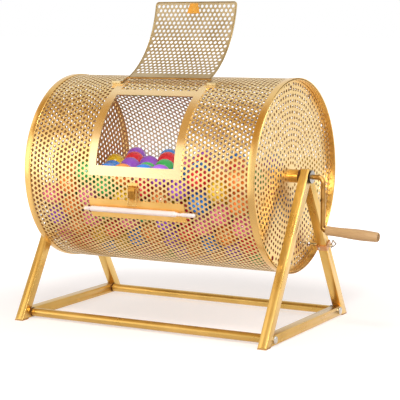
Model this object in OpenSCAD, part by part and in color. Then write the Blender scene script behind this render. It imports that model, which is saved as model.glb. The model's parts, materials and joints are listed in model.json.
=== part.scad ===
// Raffle drum: a perforated sheet drum with a hatch, on a tubular A-frame stand,
// turned by a bent rod crank. X runs along the drum towards the crank, -Y is the
// hatch side, and the origin is on the table below the middle of the drum.

/* [Drum] */
// Outside diameter of the perforated shell
drum_d = 308; // [260:1:320]
// Length over the two rims
drum_l = 416; // [380:1:440]
// Thickness of the perforated sheet
sheet_t = 1; // [0.8:0.1:1.5]
// Width of the solid rim bands
rim_w = 11.5; // [10:0.5:20]
// Depth of the end discs behind the rim faces
disc_recess = 10.7; // [6:0.1:16]
// Outside diameter of the hub sleeves
hub_d = 21; // [18:1:30]
// Openings in a row along the drum; the real holes are far smaller and closer
punch_columns = 12; // [8:1:12]
// Openings round the drum
punch_rows = 26; // [16:2:28]
// Width of an opening, less than a ball
punch_d = 22; // [10:1:24]

/* [Hatch] */
// Clear width of the hatch
hatch_w = 140.6; // [100:0.2:160]
// Width of the flat frame bars round the hatch
bar_w = 16.2; // [12:0.2:20]
// Width of the frame bars at the hatch's sides
side_w = 13.4; // [10:0.2:16]
// Angle of the hatch's lower edge above the horizontal
hatch_low = 6.6; // [4:0.1:12]
// Angle of the hatch's upper edge above the horizontal
hatch_high = 54.4; // [45:0.1:56]
// Angle of the hinge line above the horizontal
hinge_a = 66.8; // [66:0.1:70]
// Turn of the door from closed to fully open
door_turn = 186; // [175:1:188]

/* [Stand] */
// Height of the drum axis above the table
axis_z = 247; // [240:1:280]
// Size of the square tube
tube = 15; // [12:1:18]
// Distance from the middle to the centre of each A-frame
frame_x = 223; // [220:1:240]
// Distance from the middle to the outer edge of each foot
foot_y = 157.5; // [140:0.5:180]
// Lean of each leg from the vertical
leg_lean = 30.7; // [26:0.1:32]
// Distance from the middle to each long rail
rail_y = 126; // [100:1:130]
// Diameter of the long rails
rail_d = 14; // [12:1:15]

/* [Crank] */
// Diameter of the crank rod
rod_d = 8; // [8:0.5:10]
// Throw of the crank
crank_r = 83.6; // [60:0.2:100]
// Distance from the middle to the crank's arm
crank_x = 253; // [250:1:260]
// Length of the wooden handle
grip_l = 88; // [80:1:110]
// Droop of the handle below the horizontal
grip_droop = 3; // [0:0.5:5]

/* [Clasp and lock] */
// Offset of the clasp from the middle of the hatch
clasp_x = -2.8; // [-20:0.1:20]
// Height of the lock pin above the table
lock_z = 128; // [120:1:140]
// Travel of the lock pin
lock_travel = 4; // [3:0.5:6]

/* [Balls] */
// Diameter of a ball
ball_d = 36; // [34:0.5:36.5]
// Seed of the ball colours and of their small shifts
ball_seed = 7; // [1:1:99]

/* [Hidden] */
$fn = 64;
round_n = 180;

// Radii and stations that follow from the driving sizes
shell_r = drum_d / 2;
shell_in = shell_r - sheet_t;
end_x = drum_l / 2;
disc_x = end_x - disc_recess;
rod_r = rod_d / 2;
hub_r = hub_d / 2;
hub_end = disc_x + 15;
frame_in = frame_x - tube / 2;
frame_out = frame_x + tube / 2;

// Hatch, door and hinge, as radii from the drum axis and angles from -Y
bar_r = shell_r + 1.5;
bar_deg = bar_w * 0.365;
frame_low = hatch_low - bar_deg;
frame_high = hatch_high + bar_deg * 0.9;
door_low = 1.8;
door_high = 59.6;
door_half = 75.6;
door_in = shell_r + 2.9;
door_out = door_in + 0.8;
bead_r = 1.1;
bead_path_r = door_in + 0.4;
corner_r = 5;
hinge_r = shell_r + 4.2;
hinge_wire = 1.4;
knuckle_in = 79.5;
knuckle_out = 95.5;

// Stand
lean = tan(leg_lean);
leg_w = tube / cos(leg_lean);
foot_t = 2;
wall = 1.5;
head_z = axis_z + 12;
cavity_top = axis_z - 45;
bush_r = rod_r + 4;
bar_h = foot_t + tube;
rail_z = 10;
rail_r = rail_d / 2;

// Crank
first_bend = 9;
last_bend = 6;
spindle_r = 3;
grip_z = axis_z - crank_r;
spindle_l = grip_l - 5.4;

// Clasp
bail_pivot_a = -5.3;
bail_pivot_r = shell_r + 3.4;
bail_l = 27.3;
bail_wire = 0.9;
bail_half = 7.6;

// Lock
lock_y = foot_y - leg_w / 2 - lean * lock_z;
lock_pitch_r = sqrt(lock_y ^ 2 + (axis_z - lock_z) ^ 2);
lock_first = atan2(lock_y, axis_z - lock_z);

// Openings of the punched sheets: spacing, plain margin at an edge, rows on the door, and
// rings on the end discs with one more ring between the holes for the lock pin
punch_step = 2 * (end_x - rim_w) / punch_columns;
punch_turn = 360 / punch_rows;
punch_pitch = 2 * PI * shell_r / punch_rows;
punch_edge = punch_d / 2 + 3;
punch_edge_deg = punch_edge / shell_r * 180 / PI;
door_first_row = 20;
door_row_turn = 12.5;
door_columns = [-1.5:1.5];
disc_rings = [45, 78, 111];
disc_last_ring = lock_pitch_r - 1;
function column_x(c) = (c - (punch_columns - 1) / 2) * punch_step;
function disc_count(r) = round(2 * PI * r / punch_pitch);

// Places things at angle a on the drum, with -Y outwards and +Z up along the shell
module on_drum(a) translate([0, 0, axis_z]) rotate([-a, 0, 0]) children();

// Turns a form made about Z so that it stands about the drum axis
module about_axis() translate([0, 0, axis_z]) rotate([0, 90, 0]) children();

// Full ring about the drum axis
module ring(r_in, r_out, x_lo, x_hi) about_axis() translate([0, 0, x_lo]) difference() {
    cylinder(r = r_out, h = x_hi - x_lo, $fn = round_n);
    translate([0, 0, -1]) cylinder(r = r_in, h = x_hi - x_lo + 2, $fn = round_n);
}

// Sweeps a profile of radius and X round the drum from angle a_lo to a_hi
module sweep(a_lo, a_hi) about_axis() rotate([0, 0, -90 - a_hi])
    rotate_extrude(angle = a_hi - a_lo, $fn = round_n) children();

// Curved plate that follows the drum
module arc_plate(r_in, r_out, a_lo, a_hi, x_lo, x_hi) sweep(a_lo, a_hi)
    translate([r_in, x_lo]) square([r_out - r_in, x_hi - x_lo]);

// Round bar along X
module x_bar(r, x_lo, x_hi) translate([x_lo, 0, 0]) rotate([0, 90, 0]) cylinder(r = r, h = x_hi - x_lo);

// Prism along X over an outline drawn in Y and Z
module x_prism(x_lo, x_hi) translate([x_lo, 0, 0]) rotate([90, 0, 90]) linear_extrude(x_hi - x_lo) children();

// Round wire from a to b in the plane of Y and Z, at station x
module yz_wire(r, x, a, b) translate([x, a[0], a[1]])
    rotate([atan2(a[0] - b[0], b[1] - a[1]), 0, 0]) cylinder(r = r, h = norm(b - a));

// Point at radius r and angle a on the drum, as Y and Z
function drum_yz(r, a) = [-r * cos(a), axis_z + r * sin(a)];

// Leg of an A-frame: a square tube, filled at its mitred head and open at the foot
function leg_outline(inset, z_lo, z_hi) = [
    [foot_y - inset / cos(leg_lean) - lean * z_lo, z_lo],
    [foot_y - inset / cos(leg_lean) - lean * z_hi, z_hi],
    [foot_y - leg_w + inset / cos(leg_lean) - lean * z_hi, z_hi],
    [foot_y - leg_w + inset / cos(leg_lean) - lean * z_lo, z_lo]
];
module leg(side, face) {
    pin_hole = side > 0 && face > 0;
    color("goldenrod") difference() {
        intersection() {
            scale_y(face) x_prism(side * frame_x - tube / 2, side * frame_x + tube / 2)
                polygon(leg_outline(0, foot_t, head_z));
            translate([side * frame_x - tube, face > 0 ? 0 : -2 * foot_y, 0]) cube([2 * tube, 2 * foot_y, 2 * axis_z]);
        }
        scale_y(face) x_prism(side * frame_x - tube / 2 + wall, side * frame_x + tube / 2 - wall)
            polygon(leg_outline(wall, foot_t - 1, cavity_top));
        translate([0, 0, axis_z]) x_bar(bush_r + 0.02, side * frame_x - tube, side * frame_x + tube);
        if (pin_hole) translate([0, lock_y, lock_z]) x_bar(2.4, frame_in - 1, frame_out + 1);
    }
}
module scale_y(face) if (face > 0) children(); else mirror([0, 1, 0]) children();
module left_front_leg() leg(-1, -1);
module left_rear_leg() leg(-1, 1);
module right_front_leg() leg(1, -1);
module right_rear_leg() leg(1, 1);

// Square tube across the foot of an A-frame, cut to the lean of the legs
module crossbar(side) {
    y_lo = foot_y - leg_w - lean * foot_t - 0.1;
    y_hi = foot_y - leg_w - lean * bar_h - 0.1;
    x = side * frame_x;
    color("goldenrod") difference() {
        x_prism(x - tube / 2, x + tube / 2) polygon([[-y_lo, foot_t], [y_lo, foot_t], [y_hi, bar_h], [-y_hi, bar_h]]);
        translate([x - tube / 2 + wall, -foot_y, foot_t + wall]) cube([tube - 2 * wall, 2 * foot_y, tube - 2 * wall]);
        for (y = [-rail_y, rail_y]) translate([0, y, rail_z]) x_bar(3.2, x - tube, x + tube);
    }
}
module left_crossbar() crossbar(-1);
module right_crossbar() crossbar(1);

// Long round tube with a filled, tapped end for each bolt
module rail(y) color("gold") translate([0, y, rail_z]) difference() {
    x_bar(rail_r, -frame_in + 1.5, frame_in - 1.5);
    x_bar(rail_r - 1.5, -frame_in + 30, frame_in - 30);
    for (s = [-1, 1]) x_bar(3.05, s > 0 ? frame_in - 25 : -frame_in, s > 0 ? frame_in : -frame_in + 25);
}
module front_rail() rail(-rail_y);
module rear_rail() rail(rail_y);

// Four dark washers between the rails and the crossbars
module rail_washers() color("saddlebrown") for (s = [-1, 1], y = [-rail_y, rail_y])
    translate([s > 0 ? frame_in - 1.5 : -frame_in, y, rail_z]) rotate([0, 90, 0]) difference() {
        cylinder(r = rail_r + 0.8, h = 1.5);
        translate([0, 0, -1]) cylinder(r = 3.2, h = 4);
    }

// Four pan-head bolts that hold the rails, driven from the outer faces
module rail_bolts() color("silver") for (s = [-1, 1], y = [-rail_y, rail_y])
    translate([0, y, rail_z]) mirror([s > 0 ? 0 : 1, 0, 0]) union() {
        x_bar(3, frame_in - 20, frame_out + 0.1);
        translate([frame_out, 0, 0]) rotate([0, 90, 0]) rotate_extrude()
            polygon([[0, 0], [6, 0], [6, 1.4], [5, 2.6], [3.2, 3.3], [0, 3.5]]);
    }

// Four plastic plugs that close the feet of the legs
module foot_plugs() color("darkgoldenrod") for (s = [-1, 1], f = [-1, 1]) scale_y(f) union() {
    x_prism(s * frame_x - tube / 2, s * frame_x + tube / 2) polygon(leg_outline(0, 0, foot_t));
    x_prism(s * frame_x - tube / 2 + wall + 0.1, s * frame_x + tube / 2 - wall - 0.1)
        polygon(leg_outline(wall + 0.1, foot_t - 0.5, foot_t + 9));
}

// Bush pressed into the head of an A-frame
module bush(side) color("tan") ring(rod_r + 0.06, bush_r, side > 0 ? frame_in : -frame_out, side > 0 ? frame_out : -frame_in);
module left_bearing_bush() bush(-1);
module right_bearing_bush() bush(1);

// Dark washer between a hub and the A-frame
module thrust_washer(side) color("saddlebrown")
    ring(rod_r + 0.4, hub_r + 0.5, side > 0 ? hub_end + 0.4 : -frame_in + 0.2, side > 0 ? frame_in - 0.2 : -hub_end - 0.4);
module left_thrust_washer() thrust_washer(-1);
module right_thrust_washer() thrust_washer(1);

// Strap clamped round the rear right leg, which guides the lock pin
module at_lock() translate([frame_x, lock_y, lock_z]) rotate([leg_lean, 0, 0]) children();
module lock_bracket() color("peru") difference() {
    at_lock() translate([-tube / 2 - 1.6, -tube / 2 - 1.6, -4.75]) cube([tube + 3.2, tube + 3.2, 9.5]);
    at_lock() translate([-tube / 2 - 0.1, -tube / 2 - 0.1, -6]) cube([tube + 0.2, tube + 0.2, 12]);
    translate([0, lock_y, lock_z]) x_bar(2.08, frame_in - 5, frame_out + 5);
    at_lock() translate([-4.2, -tube, 0]) rotate([-90, 0, 0]) cylinder(r = 1.25, h = tube);
}
module lock_screw() color("saddlebrown") at_lock() translate([-4.2, -tube / 2 - 1.6, 0]) rotate([-90, 0, 0]) union() {
    cylinder(r = 1.2, h = 1.5);
    translate([0, 0, -1.1]) cylinder(r = 2.1, h = 1.1);
}

// Opening punched through a curved sheet at station x and angle a
module punch(x, a) on_drum(a) translate([x, -shell_r - 8, 0]) rotate([-90, 0, 0]) cylinder(r = punch_d / 2, h = 14);

// Rolled shell of the drum with its hatch. Its holes stand in staggered columns, drawn coarser
// than they are, and none meets the edge of the hatch.
module drum_shell() color("gold") difference() {
    ring(shell_in, shell_r, -end_x + 1.2, end_x - 1.2);
    arc_plate(shell_in - 3, shell_r + 3, hatch_low, hatch_high, -hatch_w / 2, hatch_w / 2);
    for (c = [0:punch_columns - 1], k = [0:punch_rows - 1]) {
        x = column_x(c);
        a = (k + c % 2 / 2) * punch_turn;
        if (abs(x) > hatch_w / 2 + punch_edge || a < hatch_low - punch_edge_deg || a > hatch_high + punch_edge_deg)
            punch(x, a);
    }
}

// Rings of openings in a flat end disc
module disc_openings(x_lo, x_hi) translate([0, 0, axis_z]) {
    for (r = disc_rings, k = [1:disc_count(r)]) rotate([360 * k / disc_count(r), 0, 0])
        translate([0, 0, r]) x_bar(punch_d / 2, x_lo, x_hi);
    for (i = [0:11]) rotate([lock_first + 30 * (i + 0.5), 0, 0])
        translate([0, 0, -disc_last_ring]) x_bar(punch_d / 2, x_lo, x_hi);
}

// Flat end discs; the right one has a ring of holes for the lock pin
module left_end_disc() color("khaki") difference() {
    ring(hub_r + 0.1, shell_in - 0.1, -disc_x, -disc_x + sheet_t);
    disc_openings(-disc_x - 5, -disc_x + 5);
}
module right_end_disc() color("khaki") difference() {
    ring(hub_r + 0.1, shell_in - 0.1, disc_x - sheet_t, disc_x);
    disc_openings(disc_x - 5, disc_x + 5);
    for (i = [0:11]) translate([0, 0, axis_z]) rotate([lock_first + 30 * i, 0, 0])
        translate([0, 0, -lock_pitch_r]) x_bar(4, disc_x - 5, disc_x + 5);
}

// Folded rim band that closes the edge of the shell and holds the end disc
module rim_profile() difference() {
    translate([shell_in - 1.4, end_x - rim_w]) square([sheet_t + 2.6, rim_w]);
    translate([shell_in - 0.05, end_x - rim_w - 1]) square([sheet_t + 0.1, rim_w]);
    translate([shell_in - 3, end_x - rim_w - 1]) square([3.5, disc_x - end_x + rim_w + 1.1]);
}
module right_rim_band() color("goldenrod") about_axis() rotate_extrude($fn = round_n) rim_profile();
module left_rim_band() mirror([1, 0, 0]) right_rim_band();

// Hub: a sleeve with an inside flange, brazed to the end disc
module hub(side) color("darkgoldenrod") union() {
    ring(rod_r + 0.02, hub_r, side > 0 ? disc_x - sheet_t - 3 : -hub_end, side > 0 ? hub_end : -disc_x + sheet_t + 3);
    ring(hub_r - 1, 30, side > 0 ? disc_x - sheet_t - 3 : -disc_x + sheet_t, side > 0 ? disc_x - sheet_t : -disc_x + sheet_t + 3);
}
module left_hub() difference() {
    hub(-1);
    set_screw_bore(-disc_x - 7.5, 2.02);
}
module right_hub() difference() {
    hub(1);
    set_screw_bore(disc_x + 7.5, 2.02);
}

// Headless screws that lock the hubs to their rods
module set_screw_bore(x, r) translate([x, 0, axis_z]) cylinder(r = r, h = 2 * hub_r);
module hub_set_screws() color("dimgray") for (x = [-disc_x - 7.5, disc_x + 7.5])
    translate([x, 0, axis_z + rod_r + 0.05]) cylinder(r = 2, h = hub_r - rod_r - 0.6);

// Short axle on the side without a crank
module left_stub_axle() color("peru") translate([0, 0, axis_z]) x_bar(rod_r, -frame_out - 6, -disc_x + sheet_t + 3);

// Places things along X on the crank's spindle, which droops a little
module on_spindle() translate([crank_x + last_bend * (1 - sin(grip_droop)), 0, grip_z + last_bend * (1 - cos(grip_droop))])
    rotate([0, grip_droop, 0]) children();

// Crank bent from one round rod, with a turned spindle for the handle
module rod_bend(r, turn) rotate([90, 0, 0]) rotate_extrude(angle = turn, $fn = 96)
    translate([r, 0]) circle(r = rod_r, $fn = 48);
module crank_rod() color("peru") difference() {
    union() {
        translate([0, 0, axis_z]) x_bar(rod_r, disc_x - sheet_t - 3, crank_x - first_bend);
        translate([crank_x - first_bend, 0, axis_z - first_bend]) rod_bend(first_bend, 90);
        translate([crank_x, 0, grip_z + last_bend]) cylinder(r = rod_r, h = crank_r - first_bend - last_bend);
        translate([crank_x + last_bend, 0, grip_z + last_bend]) rotate([0, 180, 0]) rod_bend(last_bend, 90 - grip_droop);
        on_spindle() x_bar(spindle_r, -0.5, spindle_l);
    }
    on_spindle() x_bar(2.02, spindle_l - 14, spindle_l + 1);
}

// Chrome shaft collars outside the A-frames, each with a grub screw
module collar(side) color("silver") difference() {
    ring(rod_r + 0.02, 10.5, side > 0 ? frame_out + 0.4 : -frame_out - 3.9, side > 0 ? frame_out + 3.9 : -frame_out - 0.4);
    set_screw_bore(side * (frame_out + 2.15), 1.02);
}
module left_collar() collar(-1);
module right_collar() collar(1);
module collar_set_screws() color("dimgray") for (s = [-1, 1])
    translate([s * (frame_out + 2.15), 0, axis_z + rod_r + 0.05]) cylinder(r = 1, h = 6);

// Flat curved frame round the hatch, with a tab under each hinge knuckle
module frame_cut(a_lo, a_hi, x_lo, x_hi) arc_plate(shell_r - 2, bar_r + 2, a_lo, a_hi, x_lo, x_hi);
module hatch_frame() color("moccasin") difference() {
    arc_plate(shell_r + 0.05, bar_r, frame_low, hinge_a + 5, -knuckle_out, knuckle_out);
    frame_cut(hatch_low, hatch_high, -hatch_w / 2, hatch_w / 2);
    frame_cut(frame_high, hinge_a + 6, -hatch_w / 2, hatch_w / 2);
    frame_cut(frame_low - 1, hinge_a - 3.2, hatch_w / 2 + side_w, knuckle_out + 1);
    frame_cut(frame_low - 1, hinge_a - 3.2, -knuckle_out - 1, -hatch_w / 2 - side_w);
}

// Hinge knuckle: a barrel on a saddle, with a low stop block for the open door
module knuckle() color("goldenrod") difference() {
    union() {
        on_drum(hinge_a) translate([0, -hinge_r, 0]) x_bar(2.6, knuckle_in, knuckle_out);
        on_drum(hinge_a) translate([knuckle_in, -hinge_r, -2.2]) cube([knuckle_out - knuckle_in, hinge_r - bar_r - 0.05, 4.4]);
        arc_plate(bar_r + 0.02, bar_r + 1.1, hinge_a - 1, hinge_a + 4.6, knuckle_in - 5, knuckle_out);
    }
    on_drum(hinge_a) translate([0, -hinge_r, 0]) x_bar(hinge_wire + 0.06, knuckle_in - 1, knuckle_out + 1);
}
module right_hinge_knuckle() knuckle();
module left_hinge_knuckle() mirror([1, 0, 0]) knuckle();

// The door is drawn closed and then turned back about the hinge line
module opened() {
    hinge = drum_yz(hinge_r, hinge_a);
    translate([0, hinge[0], hinge[1]]) rotate([-door_turn, 0, 0]) translate([0, -hinge[0], -hinge[1]]) children();
}

// Curved perforated door with rounded lower corners
module corner_cut() on_drum(door_low) translate([door_half - corner_r, -door_out - 5, 0]) difference() {
    translate([0, 0, -1]) cube([corner_r + 1, 10, corner_r + 1]);
    translate([0, -1, corner_r]) rotate([-90, 0, 0]) cylinder(r = corner_r - 1.2, h = 12);
    translate([-1, -1, corner_r]) cube([corner_r + 3, 12, 5]);
}
module door_sheet() color("khaki") opened() difference() {
    arc_plate(door_in, door_out, door_low + 0.45, door_high, -door_half + 1.2, door_half - 1.2);
    corner_cut();
    mirror([1, 0, 0]) corner_cut();
    for (a = rivet_angles) on_drum(a) translate([clasp_x, -door_out - 2, 0]) rotate([-90, 0, 0]) cylinder(r = 1.3, h = 5);
    for (c = door_columns, k = [0:2]) punch(c * punch_step, door_first_row + (k + (c + 1.5) % 2 / 2) * door_row_turn);
}

// Rolled wire edge round three sides of the door
corner_deg = 1.82;
module door_edge() color("goldenrod") opened() union() {
    for (s = [-1, 1]) mirror([s > 0 ? 0 : 1, 0, 0]) {
        sweep(door_low + corner_deg, door_high) translate([bead_path_r, door_half]) circle(r = bead_r, $fn = 32);
        on_drum(door_low + corner_deg) translate([door_half - corner_r, -bead_path_r, 0]) {
            rotate([90, 0, 0]) rotate([0, 0, -90]) rotate_extrude(angle = 90, $fn = 64)
                translate([corner_r, 0]) circle(r = bead_r, $fn = 32);
            translate([corner_r, 0, 0]) sphere(r = bead_r + 0.06, $fn = 32);
            translate([0, 0, -corner_r]) sphere(r = bead_r + 0.06, $fn = 32);
        }
    }
    on_drum(door_low + corner_deg) translate([0, -bead_path_r, -corner_r])
        x_bar(bead_r, corner_r - door_half, door_half - corner_r);
}

// Bent wire along the top of the door, whose ends turn in the knuckles
module door_hinge_rod() {
    top = drum_yz(bead_path_r + 0.4, door_high + 0.95);
    pin = drum_yz(hinge_r, hinge_a);
    arm_x = knuckle_in - hinge_wire - 0.5;
    color("sienna") opened() union() {
        translate([0, top[0], top[1]]) x_bar(hinge_wire, -arm_x, arm_x);
        for (s = [-1, 1]) {
            yz_wire(hinge_wire, s * arm_x, top, pin);
            translate([s * arm_x, top[0], top[1]]) sphere(r = hinge_wire + 0.05, $fn = 32);
            translate([s * arm_x, pin[0], pin[1]]) sphere(r = hinge_wire + 0.05, $fn = 32);
            translate([0, pin[0], pin[1]]) x_bar(hinge_wire, s > 0 ? arm_x : -knuckle_out + 1, s > 0 ? knuckle_out - 1 : -arm_x);
        }
    }
}

// Tapered backing plate with two raised ribs, on the inside of the door's free end
rivet_angles = [6, 7.9];
module door_hasp_plate() color("goldenrod") opened() difference() {
    on_drum(5.6) union() {
        translate([clasp_x, -door_in + 0.9, 0]) rotate([90, 0, 0]) linear_extrude(0.6)
            polygon([[-7.5, -8.6], [7.5, -8.6], [12, 8.6], [-12, 8.6]]);
        for (s = [-1, 1]) translate([clasp_x + s * 6, -door_in + 0.85, 0]) rotate([0, s * 14, 0])
            translate([-0.8, 0, -7.4]) cube([1.6, 0.3, 14.8]);
    }
    for (a = rivet_angles) on_drum(a) translate([clasp_x, -door_out - 2, 0]) rotate([-90, 0, 0]) cylinder(r = 1.3, h = 6);
}

// Angle plate on the outside of the door, with the catch that the bail drops behind
module door_keeper() color("goldenrod") opened() difference() {
    union() {
        arc_plate(door_out + 0.8, door_out + 1.8, 3.1, 8.8, clasp_x - 5, clasp_x + 5);
        arc_plate(door_out + 1.6, door_out + 5, 3.1, 3.5, clasp_x - 5, clasp_x + 5);
    }
    for (a = rivet_angles) on_drum(a) translate([clasp_x, -door_out - 4, 0]) rotate([-90, 0, 0]) cylinder(r = 1.3, h = 6);
}

// Two rivets through the keeper, the door and the backing plate
module door_rivets() color("darkgoldenrod") opened() for (a = rivet_angles) on_drum(a) translate([clasp_x, 0, 0]) {
    translate([0, -door_out - 1.9, 0]) rotate([-90, 0, 0]) cylinder(r = 1.25, h = 3.2);
    translate([0, -door_out - 2.6, 0]) rotate([-90, 0, 0]) cylinder(r = 2.2, h = 0.75);
}

// Clasp on the shell below the hatch: base plate, bracket and rivets
module clasp_plate() color("gold") difference() {
    arc_plate(shell_r + 0.05, shell_r + 1.25, -13, -2.6, clasp_x - 8, clasp_x + 8);
    for (a = [-4, -11.8]) on_drum(a) translate([clasp_x, -shell_r - 3, 0]) rotate([-90, 0, 0]) cylinder(r = 1.3, h = 5);
}
module clasp_body() color("goldenrod") difference() {
    on_drum(bail_pivot_a) union() {
        translate([0, -bail_pivot_r, 0]) x_bar(2.5, clasp_x - 5.8, clasp_x + 5.8);
        x_prism(clasp_x - 5.8, clasp_x + 5.8) polygon([
            [-shell_r + 2, 3.4], [-bail_pivot_r, 2.5], [-bail_pivot_r - 2.4, -0.5], [-bail_pivot_r - 2.8, -5],
            [-bail_pivot_r - 1.8, -11], [-shell_r - 3, -18.6], [-shell_r - 1.8, -19.4], [-shell_r + 3, -19.4]
        ]);
    }
    ring(shell_r - 5, shell_r + 1.45, -40, 40);
    on_drum(bail_pivot_a) translate([0, -bail_pivot_r, 0]) x_bar(bail_wire + 0.07, clasp_x - 10, clasp_x + 10);
}
module clasp_rivets() color("darkgoldenrod") for (a = [-4, -11.8]) on_drum(a) translate([clasp_x, 0, 0]) {
    translate([0, -shell_r - 1.3, 0]) rotate([-90, 0, 0]) cylinder(r = 1.25, h = 1.1);
}

// Wire bail that hangs from the clasp and swings up over the keeper
module clasp_bail() {
    pin = drum_yz(bail_pivot_r, bail_pivot_a);
    foot = pin - [0, bail_l];
    color("gold") union() {
        for (s = [-1, 1]) {
            yz_wire(bail_wire, clasp_x + s * bail_half, foot, pin);
            translate([clasp_x + s * bail_half, pin[0], pin[1]]) sphere(r = bail_wire + 0.04, $fn = 32);
            translate([clasp_x + s * bail_half, foot[0], foot[1]]) sphere(r = bail_wire + 0.04, $fn = 32);
            translate([0, pin[0], pin[1]]) x_bar(bail_wire, clasp_x + (s > 0 ? 2.5 : -bail_half), clasp_x + (s > 0 ? bail_half : -2.5));
        }
        translate([0, foot[0], foot[1]]) x_bar(bail_wire, clasp_x - bail_half, clasp_x + bail_half);
    }
}

// Hand grip below the clasp: curved plate, two posts and a plastic rod
grip_a = -18.9;
grip_rod_r = shell_r + 6.5;
module grip_channel() color("orange") difference() {
    arc_plate(shell_r + 0.05, shell_r + 1.35, -24.9, -13.3, -hatch_w / 2 - bar_w, hatch_w / 2 + bar_w);
    for (x = [-60, 50]) on_drum(grip_a) translate([x, -shell_r - 3, 0]) rotate([-90, 0, 0]) cylinder(r = 2.05, h = 6);
}
module grip_posts() color("goldenrod") for (x = [-60, 50])
    on_drum(grip_a) translate([x, -grip_rod_r, 0]) rotate([-90, 0, 0]) cylinder(r = 2, h = grip_rod_r - shell_r - 0.1);
module grip_rod() color("mistyrose") difference() {
    on_drum(grip_a) translate([0, -grip_rod_r, 0]) rotate([0, 90, 0]) rotate_extrude()
        polygon([[0, -94], [2.2, -94], [2.9, -93], [2.9, -84], [4.4, -81], [4.4, 71], [2.6, 76], [2.5, 82],
            [3.2, 85], [3.2, 105], [2.4, 107], [0, 107]]);
    for (x = [-60, 50]) on_drum(grip_a) translate([x, -grip_rod_r, 0]) rotate([-90, 0, 0]) cylinder(r = 2.05, h = 10);
}

// Turned wooden handle that spins on the crank's spindle
function grip_radius(t) = 8 + 0.7 * cos(360 * (t - 0.65));
function end_drop(d, e) = d < e ? e - sqrt(e ^ 2 - (e - d) ^ 2) : 0;
module crank_handle() color("burlywood") on_spindle() translate([0.3, 0, 0]) rotate([0, 90, 0]) difference() {
    rotate_extrude($fn = 72) polygon([
        [spindle_r + 0.06, 0],
        for (i = [0:40]) let (x = grip_l * (1 - cos(180 * i / 40)) / 2)
            [grip_radius(x / grip_l) - end_drop(x, 1.5) - end_drop(grip_l - x, 3), x],
        [spindle_r + 0.06, grip_l]
    ]);
    translate([0, 0, grip_l - 6]) cylinder(r = 5.8, h = 10);
}
module handle_washer() color("silver") on_spindle() translate([spindle_l, 0, 0]) rotate([0, 90, 0]) difference() {
    cylinder(r = 5.2, h = 0.8);
    translate([0, 0, -1]) cylinder(r = 2.1, h = 3);
}
module handle_screw() color("silver") on_spindle() translate([spindle_l, 0, 0]) union() {
    x_bar(2, -12, 0.9);
    translate([0.82, 0, 0]) rotate([0, 90, 0]) rotate_extrude() polygon([[0, 0], [4.2, 0], [4.2, 0.9], [3.2, 2], [0, 2.4]]);
}

// Lock pin that slides into the right end disc, and the bent wire that pulls it
lock_tip = disc_x + 1.5;
lock_tail = frame_out + lock_travel + 4.2;
module lock_pin() color("darkgoldenrod") translate([0, lock_y, lock_z]) difference() {
    union() {
        x_bar(2, lock_tip + 1, lock_tail);
        translate([lock_tip, 0, 0]) rotate([0, 90, 0]) cylinder(r1 = 1.2, r2 = 2, h = 1.01);
    }
    translate([lock_tail - 1.6, 0, -5]) cylinder(r = 1.22, h = 10);
}
pull_path = [[0, -3.6], [0, 2], [2.4, 9], [8, 3.2], [2.4, -1.6]];
module lock_pull() color("silver") translate([lock_tail - 1.6, lock_y + 0.8, lock_z]) rotate([90, 0, 0]) linear_extrude(1.6) {
    for (i = [0:3]) {
        run = pull_path[i + 1] - pull_path[i];
        translate(pull_path[i]) rotate(atan2(run[1], run[0])) translate([0, -0.8]) square([norm(run), 1.6]);
    }
    for (i = [0:4]) translate(pull_path[i]) circle(r = 0.82, $fn = 32);
}

// Heap of balls in four shells of staggered rows about the drum axis, level at the top but for
// a low corner at the front left. Dyes go by the seed, apart from the balls seen in the hatch.
ball_r = ball_d / 2;
row_x = 34;
rows = [
    [133.5, 16.6, 12, 11, 5], [99, 22.4, 9, 8, 4.5],
    [64.5, 34.5, 6, 5, 5], [30, 81, 2, 3, 4.5]
];
// Shell, row, place and dye of each
seen_balls = [
    [0, -5, 11, 5], [0, -3, 11, 4], [1, -2.5, 8, 0], [2, -3, 5, 5], [3, -3.5, 2, 5],
    [3, -1.5, 2, 3], [3, -1.5, 0, 3], [1, -2.5, 0, 4], [2, -3, 0, 4]
];
function shake(i, j, k) = rands(-1, 1, 4, ball_seed + 1000 * k + 40 * (i + 20) + j);
function dye(i, j, k) = let (seen = [for (b = seen_balls) if ([b[0], b[1], b[2]] == [k, i, j]) b[3]])
    len(seen) > 0 ? seen[0] : floor((shake(i, j, k)[3] + 1) * 3.499);
module ball_set(colour) for (k = [0:3]) {
    row = rows[k];
    for (i = [-row[4]:row[4]]) {
        n = (i + row[4]) % 2 == 0 ? row[2] : row[3];
        turn = k < 3 ? shake(i, 39, k)[0] : 0;
        for (j = [0:n - 1]) {
            s = shake(i, j, k);
            low_corner = j == 0 && k < 2 && i < -4;
            if (dye(i, j, k) == colour && !low_corner)
                translate([0, 0, axis_z]) rotate([(j - (n - 1) / 2) * row[1] + turn, 0, 0])
                    translate([i * row_x + 0.5 * s[0], 0, -row[0] + 0.4 * s[1]]) sphere(r = ball_r, $fn = 24);
        }
    }
}
module balls_red() color("crimson") ball_set(0);
module balls_orange() color("darkorange") ball_set(1);
module balls_yellow() color("gold") ball_set(2);
module balls_green() color("mediumseagreen") ball_set(3);
module balls_blue() color("royalblue") ball_set(4);
module balls_purple() color("mediumorchid") ball_set(5);
module balls_pink() color("hotpink") ball_set(6);

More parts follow.
